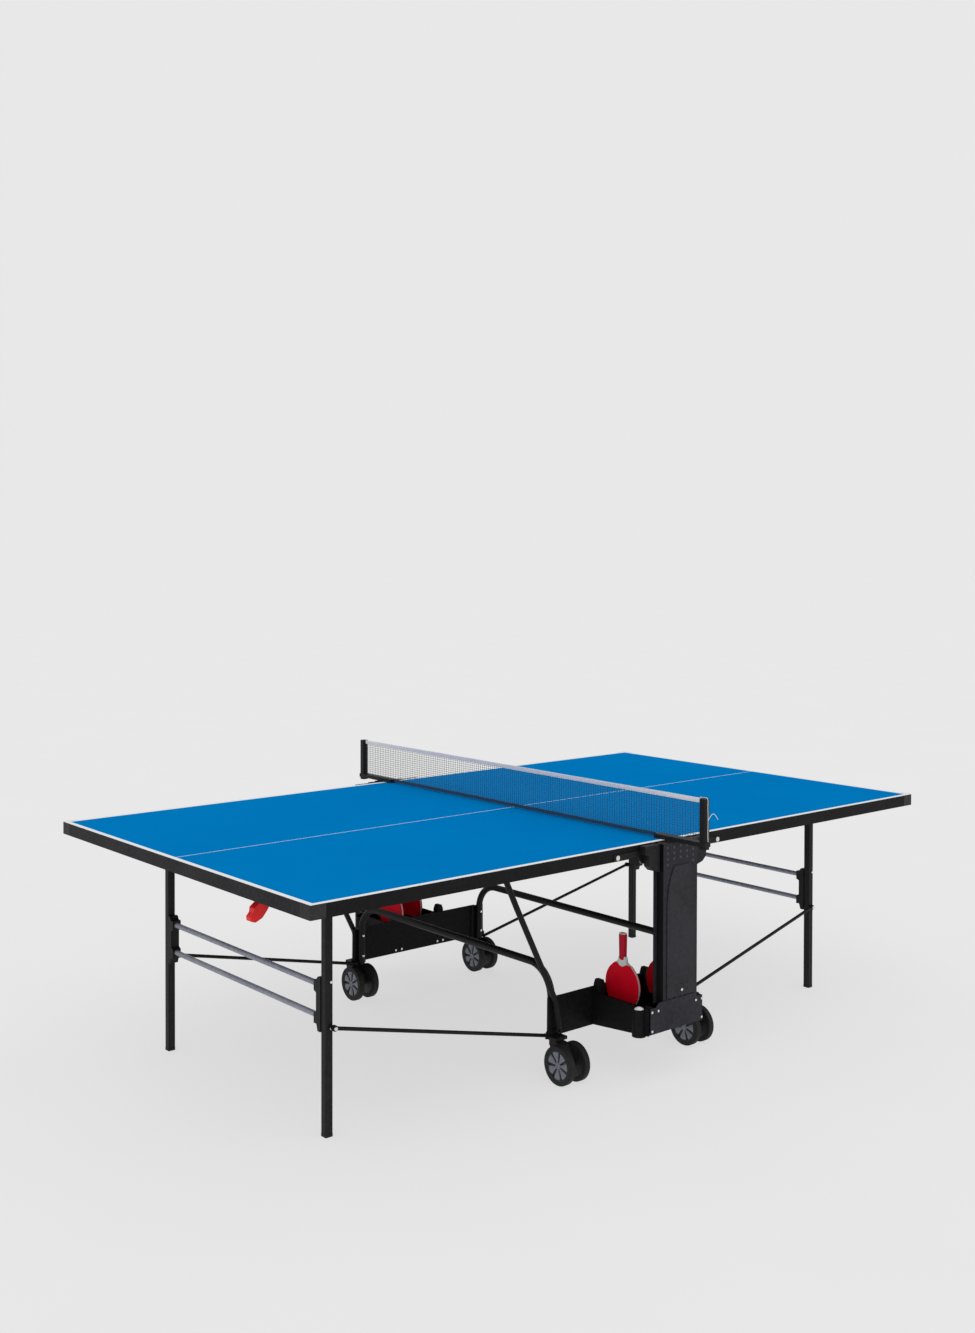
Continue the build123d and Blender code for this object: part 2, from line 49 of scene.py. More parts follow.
# ------------------------------------------------------------------ camera
az, el, roll = 0.69848, 0.01646, 0.00182
fwd = Vector((sin(az) * cos(el), cos(az) * cos(el), -sin(el)))
right = fwd.cross(Vector((0, 0, 1))).normalized()
up = right.cross(fwd)
r2 = right * cos(roll) + up * sin(roll)
u2 = up * cos(roll) - right * sin(roll)
cam_data = bpy.data.cameras.new("camera")
cam = bpy.data.objects.new("camera", cam_data)
scene.collection.objects.link(cam)
cam.matrix_world = Matrix(((r2.x, u2.x, -fwd.x, -3.446), (r2.y, u2.y, -fwd.y, -3.910), (r2.z, u2.z, -fwd.z, 1.682), (0, 0, 0, 1)))
cam_data.sensor_width = 36
cam_data.sensor_fit = "AUTO"
cam_data.lens = 1442.7 / 1333 * 36
cam_data.shift_x = -(477.42 - 487.5) / 1333
cam_data.shift_y = (576.22 - 666.5) / 1333
cam_data.clip_start = 0.05
cam_data.clip_end = 100
scene.camera = cam

# ------------------------------------------------------------------ materials
_mats = {}


class Nodes:
    """Small helper that wires a material's node tree."""
    def __init__(self, name, alpha=False):
        self.mat = bpy.data.materials.new(name)
        self.mat.use_nodes = True
        self.t = self.mat.node_tree
        self.bsdf = self.t.nodes["Principled BSDF"]
        self.coord = self.t.nodes.new("ShaderNodeTexCoord").outputs["Object"]

    def new(self, kind, **inputs):
        n = self.t.nodes.new(kind)
        for k, v in inputs.items():
            k = k.replace("_", " ")
            if hasattr(v, "is_linked") or hasattr(v, "links"):
                self.t.links.new(v, n.inputs[k])
            else:
                n.inputs[k].default_value = v
        return n

    def math(self, op, a, b=0.0, clamp=False):
        n = self.t.nodes.new("ShaderNodeMath")
        n.operation = op
        n.use_clamp = clamp
        for i, v in enumerate((a, b)):
            if hasattr(v, "links"):
                self.t.links.new(v, n.inputs[i])
            else:
                n.inputs[i].default_value = v
        return n.outputs[0]

    def noise(self, scale, detail=3.0, rough=0.55, vec=None):
        n = self.t.nodes.new("ShaderNodeTexNoise")
        n.inputs["Scale"].default_value = scale
        n.inputs["Detail"].default_value = detail
        n.inputs["Roughness"].default_value = rough
        self.t.links.new(vec or self.coord, n.inputs["Vector"])
        return n.outputs["Fac"]

    def ramp(self, fac, lo, hi, a, b):
        n = self.t.nodes.new("ShaderNodeMapRange")
        n.inputs["From Min"].default_value = lo
        n.inputs["From Max"].default_value = hi
        n.inputs["To Min"].default_value = a
        n.inputs["To Max"].default_value = b
        self.t.links.new(fac, n.inputs["Value"])
        return n.outputs["Result"]

    def mix(self, fac, a, b):
        n = self.t.nodes.new("ShaderNodeMix")
        n.data_type = "RGBA"
        for key, v in ((0, fac), (6, a), (7, b)):
            if hasattr(v, "links"):
                self.t.links.new(v, n.inputs[key])
            else:
                n.inputs[key].default_value = v if key == 0 else (*v, 1.0)
        return n.outputs[2]

    def bump(self, height, strength, distance, radius=0.0):
        n = self.t.nodes.new("ShaderNodeBump")
        n.inputs["Strength"].default_value = strength
        n.inputs["Distance"].default_value = distance
        self.t.links.new(height, n.inputs["Height"])
        if radius:
            b = self.t.nodes.new("ShaderNodeBevel")
            b.samples = 4
            b.inputs["Radius"].default_value = radius
            self.t.links.new(b.outputs["Normal"], n.inputs["Normal"])
        self.t.links.new(n.outputs["Normal"], self.bsdf.inputs["Normal"])

    def set(self, **kw):
        for k, v in kw.items():
            k = k.replace("_", " ")
            if hasattr(v, "links"):
                self.t.links.new(v, self.bsdf.inputs[k])
            else:
                self.bsdf.inputs[k].default_value = v


def paint(name, base, rough=0.42, grain=900, depth=0.00006, bevel=0.0012, vary=0.25, metallic=0.0, coat=0.0, spec=0.5, shade=(1.0, 1.0)):
    m = Nodes(name)
    v = m.noise(7, 3)
    dark = tuple(c * (1 - vary) for c in base)
    light = tuple(min(1, c * (1 + vary)) for c in base)
    col = m.mix(m.ramp(v, 0.35, 0.65, 0, 1), dark, light)
    geo = m.t.nodes.new("ShaderNodeNewGeometry")
    worn = m.ramp(geo.outputs["Pointiness"], 0.53, 0.60, 0.0, 0.30)
    col = m.mix(m.math("MULTIPLY", worn, m.ramp(m.noise(70, 4), 0.42, 0.62, 0.1, 1.0), True), col, tuple(min(1.0, c * 1.8 + 0.01) for c in base))
    if shade != (1.0, 1.0):
        # painted shade: faces that look along X or Y are darkened, to match the light at rest
        tc = m.t.nodes.new("ShaderNodeTexCoord")
        sep = m.t.nodes.new("ShaderNodeSeparateXYZ")
        m.t.links.new(tc.outputs["Normal"], sep.inputs[0])
        fx = m.ramp(m.math("ABSOLUTE", sep.outputs["X"]), 0.5, 0.9, 0.0, 1.0 - shade[0])
        fy = m.ramp(m.math("ABSOLUTE", sep.outputs["Y"]), 0.5, 0.9, 0.0, 1.0 - shade[1])
        col = m.mix(m.math("ADD", fx, fy, True), col, (0.0004, 0.0004, 0.0005))
    m.set(Base_Color=col, Roughness=m.ramp(m.noise(grain * 0.15, 4), 0.3, 0.7, rough - 0.05, rough + 0.07), Metallic=metallic, Specular_IOR_Level=spec)
    if coat:
        m.set(Coat_Weight=coat, Coat_Roughness=0.25)
    m.bump(m.noise(grain, 2), 0.35, depth, bevel)
    return m.mat


def court_material(name):
    m = Nodes(name)
    sep = m.t.nodes.new("ShaderNodeSeparateXYZ")
    m.t.links.new(m.coord, sep.inputs[0])
    x, y = sep.outputs["X"], sep.outputs["Y"]
    ax = m.math("ABSOLUTE", x)
    ay = m.math("ABSOLUTE", y)
    e1 = m.math("GREATER_THAN", ax, 1.370 - 0.020)
    e2 = m.math("GREATER_THAN", ay, 0.7625 - 0.020)
    e3 = m.math("LESS_THAN", ay, 0.0016)
    line = m.math("MAXIMUM", m.math("MAXIMUM", e1, e2), e3)
    top = m.math("GREATER_THAN", sep.outputs["Z"], 0.7595)
    line = m.math("MULTIPLY", line, top)
    cloud = m.noise(1.6, 4)
    fine = m.noise(420, 3)
    blue = m.mix(m.ramp(cloud, 0.3, 0.7, 0, 1), (0.0001, 0.172, 0.470), (0.0001, 0.186, 0.500))
    blue = m.mix(m.ramp(fine, 0.35, 0.65, 0.0, 0.10), blue, (0.001, 0.215, 0.56))
    under = m.mix(m.ramp(fine, 0.3, 0.7, 0, 1), (0.035, 0.034, 0.036), (0.05, 0.048, 0.05))
    white = m.mix(m.ramp(fine, 0.3, 0.7, 0, 1), (0.72, 0.73, 0.74), (0.82, 0.82, 0.82))
    col = m.mix(top, under, m.mix(line, blue, white))
    m.set(Base_Color=col, Roughness=m.ramp(m.noise(260, 4), 0.3, 0.7, 0.62, 0.72), Specular_IOR_Level=0.0)
    m.bump(m.noise(1500, 2), 0.25, 0.00005, 0.0006)
    return m.mat


def brushed(name, base, rough=0.3):
    m = Nodes(name)
    v = m.noise(300, 4)
    m.set(Base_Color=m.mix(m.ramp(v, 0.3, 0.7, 0, 1), tuple(c * 0.85 for c in base), base), Metallic=1.0,
          Roughness=m.ramp(m.noise(900, 3), 0.3, 0.7, rough - 0.06, rough + 0.08))
    m.bump(m.noise(1600, 2), 0.2, 0.00003, 0.0005)
    return m.mat


def rubber_red(name):
    m = Nodes(name)
    v = m.t.nodes.new("ShaderNodeTexVoronoi")
    v.inputs["Scale"].default_value = 620
    m.t.links.new(m.coord, v.inputs["Vector"])
    cloud = m.noise(18, 4)
    m.set(Base_Color=m.mix(m.ramp(cloud, 0.3, 0.7, 0, 1), (0.56, 0.0010, 0.012), (0.66, 0.0016, 0.017)),
          Roughness=m.ramp(m.noise(90, 3), 0.3, 0.7, 0.55, 0.66), Specular_IOR_Level=0.06)
    m.bump(v.outputs["Distance"], 0.3, 0.0002)
    return m.mat


def wood(name, a, b):
    m = Nodes(name)
    w = m.t.nodes.new("ShaderNodeTexWave")
    w.bands_direction = "X"
    w.inputs["Scale"].default_value = 320
    w.inputs["Distortion"].default_value = 2.5
    w.inputs["Detail"].default_value = 3
    m.t.links.new(m.coord, w.inputs["Vector"])
    m.set(Base_Color=m.mix(m.ramp(w.outputs["Fac"], 0.2, 0.8, 0, 1), a, b), Roughness=m.ramp(m.noise(80, 3), 0.3, 0.7, 0.45, 0.6))
    m.bump(w.outputs["Fac"], 0.2, 0.0001, 0.0005)
    return m.mat


def weave(name, a, b, scale=1500, rough=0.85):
    m = Nodes(name)
    w1 = m.t.nodes.new("ShaderNodeTexWave"); w1.bands_direction = "Y"
    w2 = m.t.nodes.new("ShaderNodeTexWave"); w2.bands_direction = "Z"
    for w in (w1, w2):
        w.inputs["Scale"].default_value = scale * 0.3
        w.inputs["Distortion"].default_value = 0.4
        m.t.links.new(m.coord, w.inputs["Vector"])
    h = m.math("MULTIPLY", w1.outputs["Fac"], w2.outputs["Fac"])
    m.set(Base_Color=m.mix(m.ramp(m.noise(120, 4), 0.3, 0.7, 0, 1), a, b), Roughness=m.ramp(m.noise(500, 2), 0.3, 0.7, rough - 0.08, rough + 0.05),
          Sheen_Weight=0.15, Specular_IOR_Level=0.25)
    m.bump(h, 0.5, 0.0002)
    return m.mat


M = {
    "table_top": court_material("court"),
    # apron: painted shade darkens the faces that look along Y
    "apron": paint("apron_paint", (0.0125, 0.0115, 0.0138), rough=0.55, spec=0.12, shade=(1.0, 0.35)),
    "frame_black": paint("frame_paint", (0.0055, 0.0055, 0.0060), rough=0.50, spec=0.18),
    # tower paint: painted shadow darkens the faces that look along X
    "tower_paint": paint("tower_paint", (0.0180, 0.0168, 0.0220), rough=0.55, spec=0.15, shade=(0.10, 1.0)),
    "tower_plastic": paint("tower_plastic", (0.0165, 0.0152, 0.0200), rough=0.55, grain=1400, depth=0.00009, spec=0.2),
    "tray_plastic": paint("tray_plastic", (0.0030, 0.0029, 0.0036), rough=0.6, grain=1400, depth=0.00010, bevel=0.0018, spec=0.12),
    "moulded_black": paint("moulded_black", (0.0050, 0.0050, 0.0055), rough=0.55, grain=1400, depth=0.00009, bevel=0.0015, spec=0.22),
    "corner_plastic": paint("corner_plastic", (0.0200, 0.0195, 0.0215), rough=0.6, grain=1400, depth=0.00010, bevel=0.002, spec=0.25),
    "grey_tube": paint("grey_tube", (0.210, 0.218, 0.270), rough=0.40, vary=0.12),
    "zinc": brushed("zinc", (0.80, 0.80, 0.80)),
    "lever_red": paint("lever_red", (0.78, 0.014, 0.016), rough=0.45, vary=0.08, coat=0.05, bevel=0.002, spec=0.2),
    "hub_grey": paint("hub_grey", (0.135, 0.150, 0.175), rough=0.42, vary=0.12, bevel=0.0012),
    "tyre": paint("tyre", (0.0090, 0.0090, 0.0098), rough=0.72, grain=1800, depth=0.00012, spec=0.3),
    "bat_red": rubber_red("bat_rubber"),
    "grip_red": paint("grip_red", (0.46, 0.006, 0.024), rough=0.6, vary=0.12, bevel=0.0015, spec=0.15),
    "bat_wood": wood("bat_wood", (0.50, 0.36, 0.22), (0.66, 0.50, 0.34)),
    "bat_white": paint("bat_throat", (0.62, 0.64, 0.64), rough=0.5, vary=0.06),
    "bat_edge": paint("bat_edge_tape", (0.52, 0.40, 0.40), rough=0.6, vary=0.08),
    "ball_white": paint("ball_white", (0.80, 0.80, 0.80), rough=0.45, vary=0.03, grain=700, depth=0.00002, bevel=0),
    "net_fabric": weave("net_thread", (0.012, 0.022, 0.036), (0.024, 0.038, 0.056), 2400),
    "hem_fabric": weave("net_hem", (0.003, 0.038, 0.085), (0.004, 0.048, 0.105), 2400),
    "tape_fabric": weave("tape_fabric", (0.62, 0.60, 0.63), (0.76, 0.75, 0.77), 2000),
    "cord_fabric": weave("cord_white", (0.62, 0.62, 0.63), (0.80, 0.80, 0.80), 3000),
    "hub_dark": paint("hub_dark", (0.010, 0.011, 0.013), rough=0.5, vary=0.12, bevel=0.0012),
    "panel_black": paint("panel_paint", (0.0038, 0.0038, 0.0040), rough=0.5, spec=0.08),
    "dimple": paint("dimple_plastic", (0.045, 0.043, 0.050), rough=0.5, bevel=0, spec=0.35),
    # near-black painted shade for the tower's holes
    "hole": paint("hole_painted_shade", (0.002, 0.002, 0.002), rough=0.8, bevel=0),
}
for sp in frame["record"]["subparts"]:
    n = sp["node"]
    if n in nodes:
        o = nodes[n]
        mat = M[sp["material_slot"]]
        if n.endswith("corner_caps"):
            mat = M["corner_plastic"]
        if n == "side_panels":
            mat = M["panel_black"]
        if not o.data.materials:
            o.data.materials.append(mat)
        for i in range(len(o.material_slots)):
            o.material_slots[i].material = mat


# ------------------------------------------------------------------ mesh helpers
def finish_mesh(name, bm, mat, body, smooth=True, bevel=0.0, angle=35):
    me = bpy.data.meshes.new(name)
    bmesh.ops.recalc_face_normals(bm, faces=bm.faces[:])
    bm.to_mesh(me)
    bm.free()
    o = bpy.data.objects.new(name, me)
    scene.collection.objects.link(o)
    me.materials.append(M[mat])
    if bevel:
        b = o.modifiers.new("bevel", "BEVEL")
        b.width = bevel
        b.segments = 2
        b.limit_method = "ANGLE"
        b.angle_limit = radians(angle)
    if smooth:
        for p in me.polygons:
            p.use_smooth = True
        me.set_sharp_from_angle(angle=radians(angle)) if hasattr(me, "set_sharp_from_angle") else None
    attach(o, body)
    return o


def box_into(bm, lo, hi):
    v = [bm.verts.new((x, y, z)) for x in (lo[0], hi[0]) for y in (lo[1], hi[1]) for z in (lo[2], hi[2])]
    for f in ((0, 1, 3, 2), (4, 6, 7, 5), (0, 4, 5, 1), (2, 3, 7, 6), (0, 2, 6, 4), (1, 5, 7, 3)):
        bm.faces.new([v[i] for i in f])


def prism_into(bm, pts, axis, a, b):
    """Extrude a closed 2-D outline along an axis, from a to b."""
    def p3(p, t):
        if axis == "x": return (t, p[0], p[1])
        if axis == "y": return (p[0], t, p[1])
        return (p[0], p[1], t)
    lo = [bm.verts.new(p3(p, a)) for p in pts]
    hi = [bm.verts.new(p3(p, b)) for p in pts]
    bm.faces.new(lo)
    bm.faces.new(hi[::-1])
    n = len(pts)
    for i in range(n):
        bm.faces.new((lo[i], lo[(i + 1) % n], hi[(i + 1) % n], hi[i]))


def lathe_into(bm, profile, origin, axis, n=20):
    """Revolve (radius, height) pairs about an axis; the ends are closed on the axis."""
    ax = Vector(axis).normalized()
    ref = Vector((0, 0, 1)) if abs(ax.z) < 0.9 else Vector((1, 0, 0))
    e1 = ax.cross(ref).normalized()
    e2 = ax.cross(e1)
    rings = []
    for r, h in profile:
        if r < 1e-7:
            rings.append([bm.verts.new(Vector(origin) + ax * h)])
        else:
            rings.append([bm.verts.new(Vector(origin) + ax * h + (e1 * cos(2 * pi * k / n) + e2 * sin(2 * pi * k / n)) * r) for k in range(n)])
    for a, b in zip(rings, rings[1:]):
        for k in range(n):
            p, q = a[k % len(a)], a[(k + 1) % len(a)]
            s_, t_ = b[(k + 1) % len(b)], b[k % len(b)]
            vs = []
            for v in (p, q, s_, t_):
                if v not in vs:
                    vs.append(v)
            if len(vs) > 2:
                bm.faces.new(vs)


def bolt_into(bm, pos, axis, r=0.0045, h=0.0028):
    """Domed screw head."""
    prof = [(0, -0.0004), (r, -0.0004), (r, h * 0.35), (r * 0.86, h * 0.72), (r * 0.5, h * 0.95), (0, h)]
    lathe_into(bm, prof, pos, axis, 16)


# ------------------------------------------------------------------ net cords
def nurbs(name, pts, radius, mat, body):
    cu = bpy.data.curves.new(name, "CURVE")
    cu.dimensions = "3D"
    sp = cu.splines.new("NURBS")
    sp.points.add(len(pts) - 1)
    for i, p in enumerate(pts):
        sp.points[i].co = (*p, 1.0)
    sp.order_u = 3
    sp.use_endpoint_u = True
    cu.bevel_depth = radius
    cu.bevel_resolution = 4
    cu.resolution_u = 16
    cu.use_fill_caps = True
    o = bpy.data.objects.new(name, cu)
    scene.collection.objects.link(o)
    cu.materials.append(M[mat])
    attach(o, body)
    return o


MM = 0.001
TENSION = [(0, -930, 778), (-0.8, -929.4, 812), (0.8, -929.6, 850), (-0.6, -929.4, 884), (0, -929.6, 908), (0, -926.4, 914.8),
           (0, -917, 915.6), (0, -907, 914.6), (0, -899, 914.9)]
TAIL = [(1.2, -930.4, 846), (6, -932.5, 856), (14, -935.5, 866), (23, -938, 863), (30, -940, 852), (34, -941, 846)]

# ------------------------------------------------------------------ net
Z0, Z1 = 0.762, 0.8975
YE = 0.9028
bm = bmesh.new()
th = 0.0009
pitch_y, pitch_z = 0.0112, 0.0082
# vertical threads
n = int(2 * YE / pitch_y)
for i in range(n + 1):
    y = -YE + 2 * YE * i / n
    y = max(-YE + th, min(YE - th, y))
    z_lo = 0.7635 if abs(y) < 0.706 else 0.7755
    box_into(bm, (-th / 2, y - th / 2, z_lo), (th / 2, y + th / 2, Z1))
k = 0
z = 0.7790
while z < Z1 - 0.002:
    box_into(bm, (-th * 0.62, -YE, z - th / 2), (th * 0.62, YE, z + th / 2))
    z += pitch_z
net = finish_mesh("net_threads", bm, "net_fabric", "trolley", smooth=False)
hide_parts("net_mesh")

# dark hem along the bottom: a folded band with a slight roll
bm = bmesh.new()
N = 90
prof = [(-0.0009, 0.0), (-0.0011, 0.006), (-0.0008, 0.0122), (0.0008, 0.0122), (0.0011, 0.006), (0.0009, 0.0)]
rows = []
for i in range(N + 1):
    y = -0.7085 + 1.417 * i / N
    rows.append([bm.verts.new((px, y, 0.7636 + pz + 0.0003 * sin(i * 0.9))) for px, pz in prof])
for a, b in zip(rows, rows[1:]):
    for j in range(len(prof)):
        bm.faces.new((a[j], a[(j + 1) % len(prof)], b[(j + 1) % len(prof)], b[j]))
bm.faces.new(rows[0]); bm.faces.new(rows[-1][::-1])
hem = finish_mesh("net_hem", bm, "hem_fabric", "trolley")

# white top band, folded over the mesh, stitched along its lower edge
bm = bmesh.new()
N = 160
rows = []
prof = [(-0.00115, 0.0), (-0.00125, 0.004), (-0.0013, 0.010), (-0.0012, 0.0138), (-0.0006, 0.0150), (0.0006, 0.0150), (0.0012, 0.0138),
        (0.0013, 0.010), (0.00125, 0.004), (0.00115, 0.0)]
for i in range(N + 1):
    y = -0.9028 + 1.8056 * i / N
    sag = -0.0003 * (0.5 + 0.5 * sin(i * 0.37))
    rows.append([bm.verts.new((px * (1 + 0.08 * sin(i * 1.7)), y, 0.8974 + pz + sag * (1 if 0 < i < N else 0))) for px, pz in prof])
for a, b in zip(rows, rows[1:]):
    for j in range(len(prof)):
        bm.faces.new((a[j], a[(j + 1) % len(prof)], b[(j + 1) % len(prof)], b[j]))
bm.faces.new(rows[0]); bm.faces.new(rows[-1][::-1])
tape = finish_mesh("net_band", bm, "tape_fabric", "trolley")
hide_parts("net_tape")
bm = bmesh.new()
for i in range(300):
    y = -0.900 + 1.8 * i / 299
    for sx in (-1, 1):
        box_into(bm, (min(sx * 0.00118, sx * 0.0015), y - 0.0018, 0.8998), (max(sx * 0.00118, sx * 0.0015), y + 0.0018, 0.9003))
stitch = finish_mesh("net_band_stitching", bm, "bat_edge", "trolley", smooth=False)

t1 = nurbs("net_tension_cord", [tuple(c * MM for c in p) for p in TENSION], 0.0010, "cord_fabric", "trolley")
t2 = nurbs("net_cord_tail", [tuple(c * MM for c in p) for p in TAIL], 0.0010, "cord_fabric", "trolley")
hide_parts("net_cord")

# ------------------------------------------------------------------ bats
def bat(idx):
    node = "bat_%d" % idx
    lo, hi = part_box(node)
    cx, cy = (lo[0] + hi[0]) / 2, (lo[1] + hi[1]) / 2
    z0 = lo[2]
    body = node + "_stored"

    def outline(grow=0.0, n=72):
        pts = []
        for k in range(n):
            a = 2 * pi * k / n
            rr = 1 + 0.035 * cos(2 * a)
            y = (0.0745 + grow) * sin(a) * (1 - 0.02 * cos(a))
            z = 0.0785 - (0.0785 + grow) * cos(a)
            # slight shoulders towards the handle
            if cos(a) < -0.80:
                z += 0.004 * (-cos(a) - 0.80) / 0.20
            pts.append((cy + y, z0 + z))
        return pts
    # plywood blade
    bm = bmesh.new()
    prism_into(bm, outline(-0.0008), "x", cx - 0.0030, cx + 0.0030)
    prism_into(bm, [(cy - 0.0155, z0 + 0.150), (cy + 0.0155, z0 + 0.150), (cy + 0.0115, z0 + 0.172), (cy + 0.0115, z0 + 0.20),
                    (cy - 0.0115, z0 + 0.20), (cy - 0.0115, z0 + 0.172)], "x", cx - 0.0030, cx + 0.0030)
    blade = finish_mesh(node + "_blade", bm, "bat_wood", body, bevel=0.0006)
    # sponge and rubber on both faces, cut straight above the throat
    for sx, tag in ((-1, "a"), (1, "b")):
        bm = bmesh.new()
        pts = [(y, min(z, z0 + 0.150 - 0.35 * max(0.0, 0.020 - abs(y - cy)))) for y, z in outline(0.0)]
        # rubber edge curves up around the throat
        pts = [(y, z) for y, z in pts]
        prism_into(bm, pts, "x", min(cx + sx * 0.0031, cx + sx * 0.0058), max(cx + sx * 0.0031, cx + sx * 0.0058))
        finish_mesh(node + "_rubber_" + tag, bm, "bat_red", body, bevel=0.0005)
    # edge tape round the blade
    bm = bmesh.new()
    o_pts = outline(0.0003, 96)
    rows = []
    order = list(range(52, 96)) + list(range(0, 45))
    for i in order:
        y, z = o_pts[i]
        rows.append([bm.verts.new((cx + sx * 0.0031, y, z)) for sx in (-1, 1)])
    inner = []
    i_pts = outline(-0.0006, 96)
    for i in order:
        y, z = i_pts[i]
        inner.append([bm.verts.new((cx + sx * 0.0031, y, z)) for sx in (-1, 1)])
    for q in range(len(order) - 1):
        bm.faces.new((rows[q][0], rows[q][1], rows[q + 1][1], rows[q + 1][0]))
        bm.faces.new((inner[q][0], inner[q + 1][0], inner[q + 1][1], inner[q][1]))
        bm.faces.new((rows[q][0], rows[q + 1][0], inner[q + 1][0], inner[q][0]))
        bm.faces.new((rows[q][1], inner[q][1], inner[q + 1][1], rows[q + 1][1]))
    for q in (0, len(order) - 1):
        bm.faces.new((rows[q][0], inner[q][0], inner[q][1], rows[q][1]))
    finish_mesh(node + "_edge_tape", bm, "bat_edge", body, smooth=True)
    # pale throat wedge
    bm = bmesh.new()
    wedge = []
    for k in range(13):
        a = pi * k / 12
        wedge.append((cy + 0.0185 * cos(a), z0 + 0.158 - 0.0150 * sin(a)))
    wedge += [(cy - 0.0135, z0 + 0.176), (cy + 0.0135, z0 + 0.176)]
    prism_into(bm, wedge, "x", cx - 0.0066, cx + 0.0066)
    finish_mesh(node + "_throat", bm, "bat_white", body, bevel=0.0008)
    # flared grip: superellipse sections
    bm = bmesh.new()
    rings = []
    hgt = hi[2] - (z0 + 0.165)
    for j in range(15):
        t = j / 14
        z = z0 + 0.165 + hgt * t
        wy = 0.0118 + 0.0016 * t * t + (0.0008 * sin(pi * t))
        wx = 0.0092 + 0.0014 * t * t
        if j == 0:
            wy *= 0.90; wx *= 0.85
        if j == 14:
            wy *= 0.93; wx *= 0.90
        ring = []
        for k in range(28):
            a = 2 * pi * k / 28
            c, s_ = cos(a), sin(a)
            e = 0.62
            ring.append(bm.verts.new((cx + wx * (abs(c) ** e) * (1 if c >= 0 else -1), cy + wy * (abs(s_) ** e) * (1 if s_ >= 0 else -1), z)))
        rings.append(ring)
    for a_, b_ in zip(rings, rings[1:]):
        for k in range(28):
            bm.faces.new((a_[k], a_[(k + 1) % 28], b_[(k + 1) % 28], b_[k]))
    bm.faces.new(rings[0][::-1]); bm.faces.new(rings[-1])
    g = finish_mesh(node + "_grip", bm, "grip_red", body, smooth=True)
    # pale cap on the end of the grip
    bm = bmesh.new()
    ring0, ring1 = [], []
    for k in range(28):
        a = 2 * pi * k / 28
        c, s_ = cos(a), sin(a)
        X = cx + 0.0100 * (abs(c) ** 0.62) * (1 if c >= 0 else -1)
        Y = cy + 0.0130 * (abs(s_) ** 0.62) * (1 if s_ >= 0 else -1)
        ring0.append(bm.verts.new((X, Y, hi[2] - 0.0022)))
        ring1.append(bm.verts.new((X, Y, hi[2] + 0.0002)))
    for k in range(28):
        bm.faces.new((ring0[k], ring0[(k + 1) % 28], ring1[(k + 1) % 28], ring1[k]))
    bm.faces.new(ring0[::-1]); bm.faces.new(ring1)
    finish_mesh(node + "_end_cap", bm, "bat_white", body, bevel=0.0004)
    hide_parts(node)


for i in range(1, 5):
    bat(i)

# ball: smooth sphere with a fine seam
lo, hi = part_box("spare_ball")
bm = bmesh.new()
c = Vector([(lo[i] + hi[i]) / 2 for i in range(3)])
prof = [(0.0199 * sin(pi * k / 40) - (0.00012 if k == 20 else 0), -0.0199 * cos(pi * k / 40)) for k in range(41)]
prof[0] = (0, -0.0199); prof[-1] = (0, 0.0199)
lathe_into(bm, prof, c, (0.3, 0.2, 1), 48)
ball = finish_mesh("ball", bm, "ball_white", "ball_stored")
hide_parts("spare_ball")

# ------------------------------------------------------------------ tower details
for t, tag in ((-1, "near"), (1, "far")):
    y = t * 0.8
    bm = bmesh.new()
    for i in range(5):
        for j in range(4):
            x = 0.018 - 0.060 + 0.030 * i
            z = 0.7445 - 0.0185 * j - 0.0015 * (i % 2)
            if j == 3 and 0 < i < 4:
                continue
            lathe_into(bm, [(0, 0.0), (0.0046, 0.0), (0.0040, 0.0007), (0.0022, 0.0012), (0, 0.0013)], (x, y - t * 0.0001, z), (0, t, 0), 14)
    finish_mesh(tag + "_tower_dimples", bm, "dimple", "trolley")
    # black discs stand in for the holes: their black is painted shade in the openings
    bm = bmesh.new()
    for i in range(3):
        for j in range(3):
            x = -0.0035 + 0.0265 * i
            z = 0.3000 - 0.0200 * j
            if i == 1 and j == 1:
                continue
            lathe_into(bm, [(0, -0.0004), (0.0036, -0.0004), (0.0036, 0.0004), (0.0030, 0.0005), (0, 0.0005)], (x, y + t * 0.003, z), (0, t, 0), 16)
    finish_mesh(tag + "_tower_holes", bm, "hole", "trolley", smooth=False)
    bm = bmesh.new()
    bolt_into(bm, (0.0230, y + t * 0.003, 0.2800), (0, t, 0), 0.0048)
    finish_mesh(tag + "_tower_bolt", bm, "zinc", "trolley")

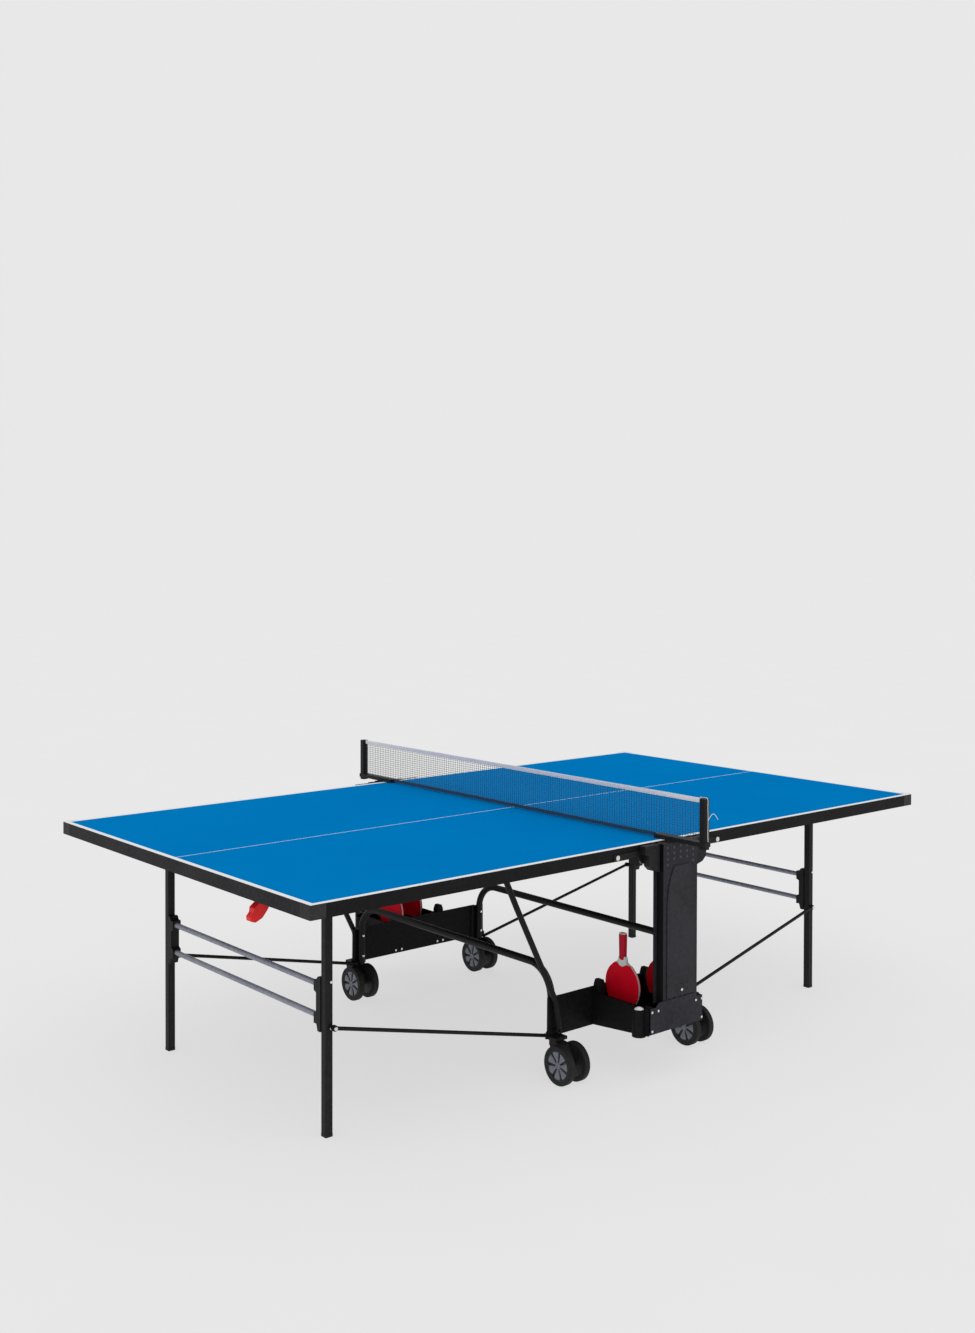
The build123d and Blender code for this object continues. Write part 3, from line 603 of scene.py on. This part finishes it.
# ------------------------------------------------------------------ caster hubs
for key in ("near_left", "far_left", "near_right", "far_right"):
    lo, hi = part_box(key + "_hubs")
    cx, cy, cz = [(lo[i] + hi[i]) / 2 for i in range(3)]
    body = key + "_wheels"
    first = None
    for sx in (-1, 1):
        xo = cx + sx * 0.0430          # outer face
        # dish with a rim, seen between the spokes
        bm = bmesh.new()
        xi = cx + sx * 0.0225
        lathe_into(bm, [(0, 0.0), (0.0468, 0.0), (0.0468, 0.0203), (0.0440, 0.0203), (0.0425, 0.0135), (0.012, 0.0125), (0, 0.0125)], (xi, cy, cz), (sx, 0, 0), 56)
        dish = finish_mesh(key + ("_dish_out" if sx > 0 else "_dish_in"), bm, "hub_dark", body)
        # seven wedge spokes, ridged along their middle
        bm = bmesh.new()
        for k in range(7):
            a = 2 * pi * k / 7 + 0.35
            w0, w1 = 0.30, 0.285
            def P(r, ang, h):
                return bm.verts.new((xi + sx * h, cy + r * cos(ang), cz + r * sin(ang)))
            r0, r1 = 0.0090, 0.0438
            top0, ridge, edge = 0.0170, 0.0192, 0.0168
            rows_ = []
            for j in range(7):
                t = j / 6
                r = r0 + (r1 - r0) * t
                da = radians(14.0 + 5.5 * t)
                rows_.append([P(r, a - da, 0.0120), P(r, a - da, edge - 0.0004 * t), P(r, a - da * 0.5, ridge - 0.0006), P(r, a, ridge), P(r, a + da * 0.5, ridge - 0.0006), P(r, a + da, edge - 0.0004 * t), P(r, a + da, 0.0120)])
            for a_, b_ in zip(rows_, rows_[1:]):
                for j in range(6):
                    bm.faces.new((a_[j], a_[j + 1], b_[j + 1], b_[j]))
                bm.faces.new((a_[6], a_[0], b_[0], b_[6]))
            bm.faces.new(rows_[0]); bm.faces.new(rows_[-1][::-1])
        finish_mesh(key + ("_spokes_out" if sx > 0 else "_spokes_in"), bm, "hub_grey", body, angle=20)
        bm = bmesh.new()
        lathe_into(bm, [(0, 0.010), (0.0098, 0.010), (0.0098, 0.0190), (0.0080, 0.0204), (0.0050, 0.0206), (0.0042, 0.0192), (0, 0.0190)], (xi, cy, cz), (sx, 0, 0), 28)
        finish_mesh(key + ("_boss_out" if sx > 0 else "_boss_in"), bm, "hub_grey", body)
        first = first or dish
    bm = bmesh.new()
    lathe_into(bm, [(0, -0.0260), (0.0049, -0.0260), (0.0049, 0.0260), (0, 0.0260)], (cx, cy, cz), (1, 0, 0), 24)
    finish_mesh(key + "_axle", bm, "zinc", body)
    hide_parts(key + "_hubs")

# bolts on the trolley frame, legs, brackets
bm = bmesh.new()
for s in (-1, 1):
    for t in (-1, 1):
        for z in (0.236, 0.160):
            bolt_into(bm, (s * 0.2900, t * (0.525) - 0.0124, z), (0, -1, 0), 0.0048)
finish_mesh("frame_bolts", bm, "zinc", "trolley")
for side, s in (("left", -1), ("right", 1)):
    bm = bmesh.new()
    for t in (-1, 1):
        for z in (0.447, 0.313):
            bolt_into(bm, (s * 1.120 + 0.006, t * 0.4825, z), (0, t, 0), 0.0046)
        bolt_into(bm, (s * 1.110, t * 0.5016, 0.316), (0, t, 0), 0.0060, 0.003)
    finish_mesh(side + "_leg_bolts", bm, "zinc", side + "_leg_set")

# ------------------------------------------------------------------ floor and light
bpy.ops.mesh.primitive_plane_add(size=240, location=(0, 0, -0.0004))
floor = bpy.context.object
floor.name = "floor"
fm = Nodes("floor_pale")
fm.set(Base_Color=fm.mix(fm.ramp(fm.noise(1.5, 2), 0.3, 0.7, 0, 1), (0.190, 0.190, 0.190), (0.198, 0.198, 0.198)), Roughness=0.95, Specular_IOR_Level=0.0,
       Emission_Color=(1.0, 1.0, 1.0, 1.0), Emission_Strength=0.620)
floor.data.materials.append(fm.mat)

world = bpy.data.worlds.new("world") if not scene.world else scene.world
scene.world = world
world.use_nodes = True
wt = world.node_tree
bg = wt.nodes["Background"]
bg.inputs["Color"].default_value = (1, 1, 1, 1)
bg.inputs["Strength"].default_value = 0.80
# what the camera sees past the floor is the same pale grey as the floor
seen = wt.nodes.new("ShaderNodeBackground")
seen.inputs["Color"].default_value = (0.807, 0.807, 0.807, 1)
pick = wt.nodes.new("ShaderNodeMixShader")
path = wt.nodes.new("ShaderNodeLightPath")
wt.links.new(path.outputs["Is Camera Ray"], pick.inputs[0])
wt.links.new(bg.outputs[0], pick.inputs[1])
wt.links.new(seen.outputs[0], pick.inputs[2])
wt.links.new(pick.outputs[0], wt.nodes["World Output"].inputs["Surface"])


def sun(name, direction, strength, angle):
    d = bpy.data.lights.new(name, "SUN")
    d.energy = strength
    d.angle = radians(angle)
    o = bpy.data.objects.new(name, d)
    scene.collection.objects.link(o)
    o.rotation_euler = Vector(direction).to_track_quat("-Z", "Y").to_euler()
    return o


sun("key", (0.45, 0.55, -0.9), 0.55, 60)
sun("fill", (-0.8, 0.5, -0.6), 0.25, 80)

scene.view_settings.view_transform = "Standard"
scene.view_settings.look = "None"
scene.view_settings.exposure = 0.0
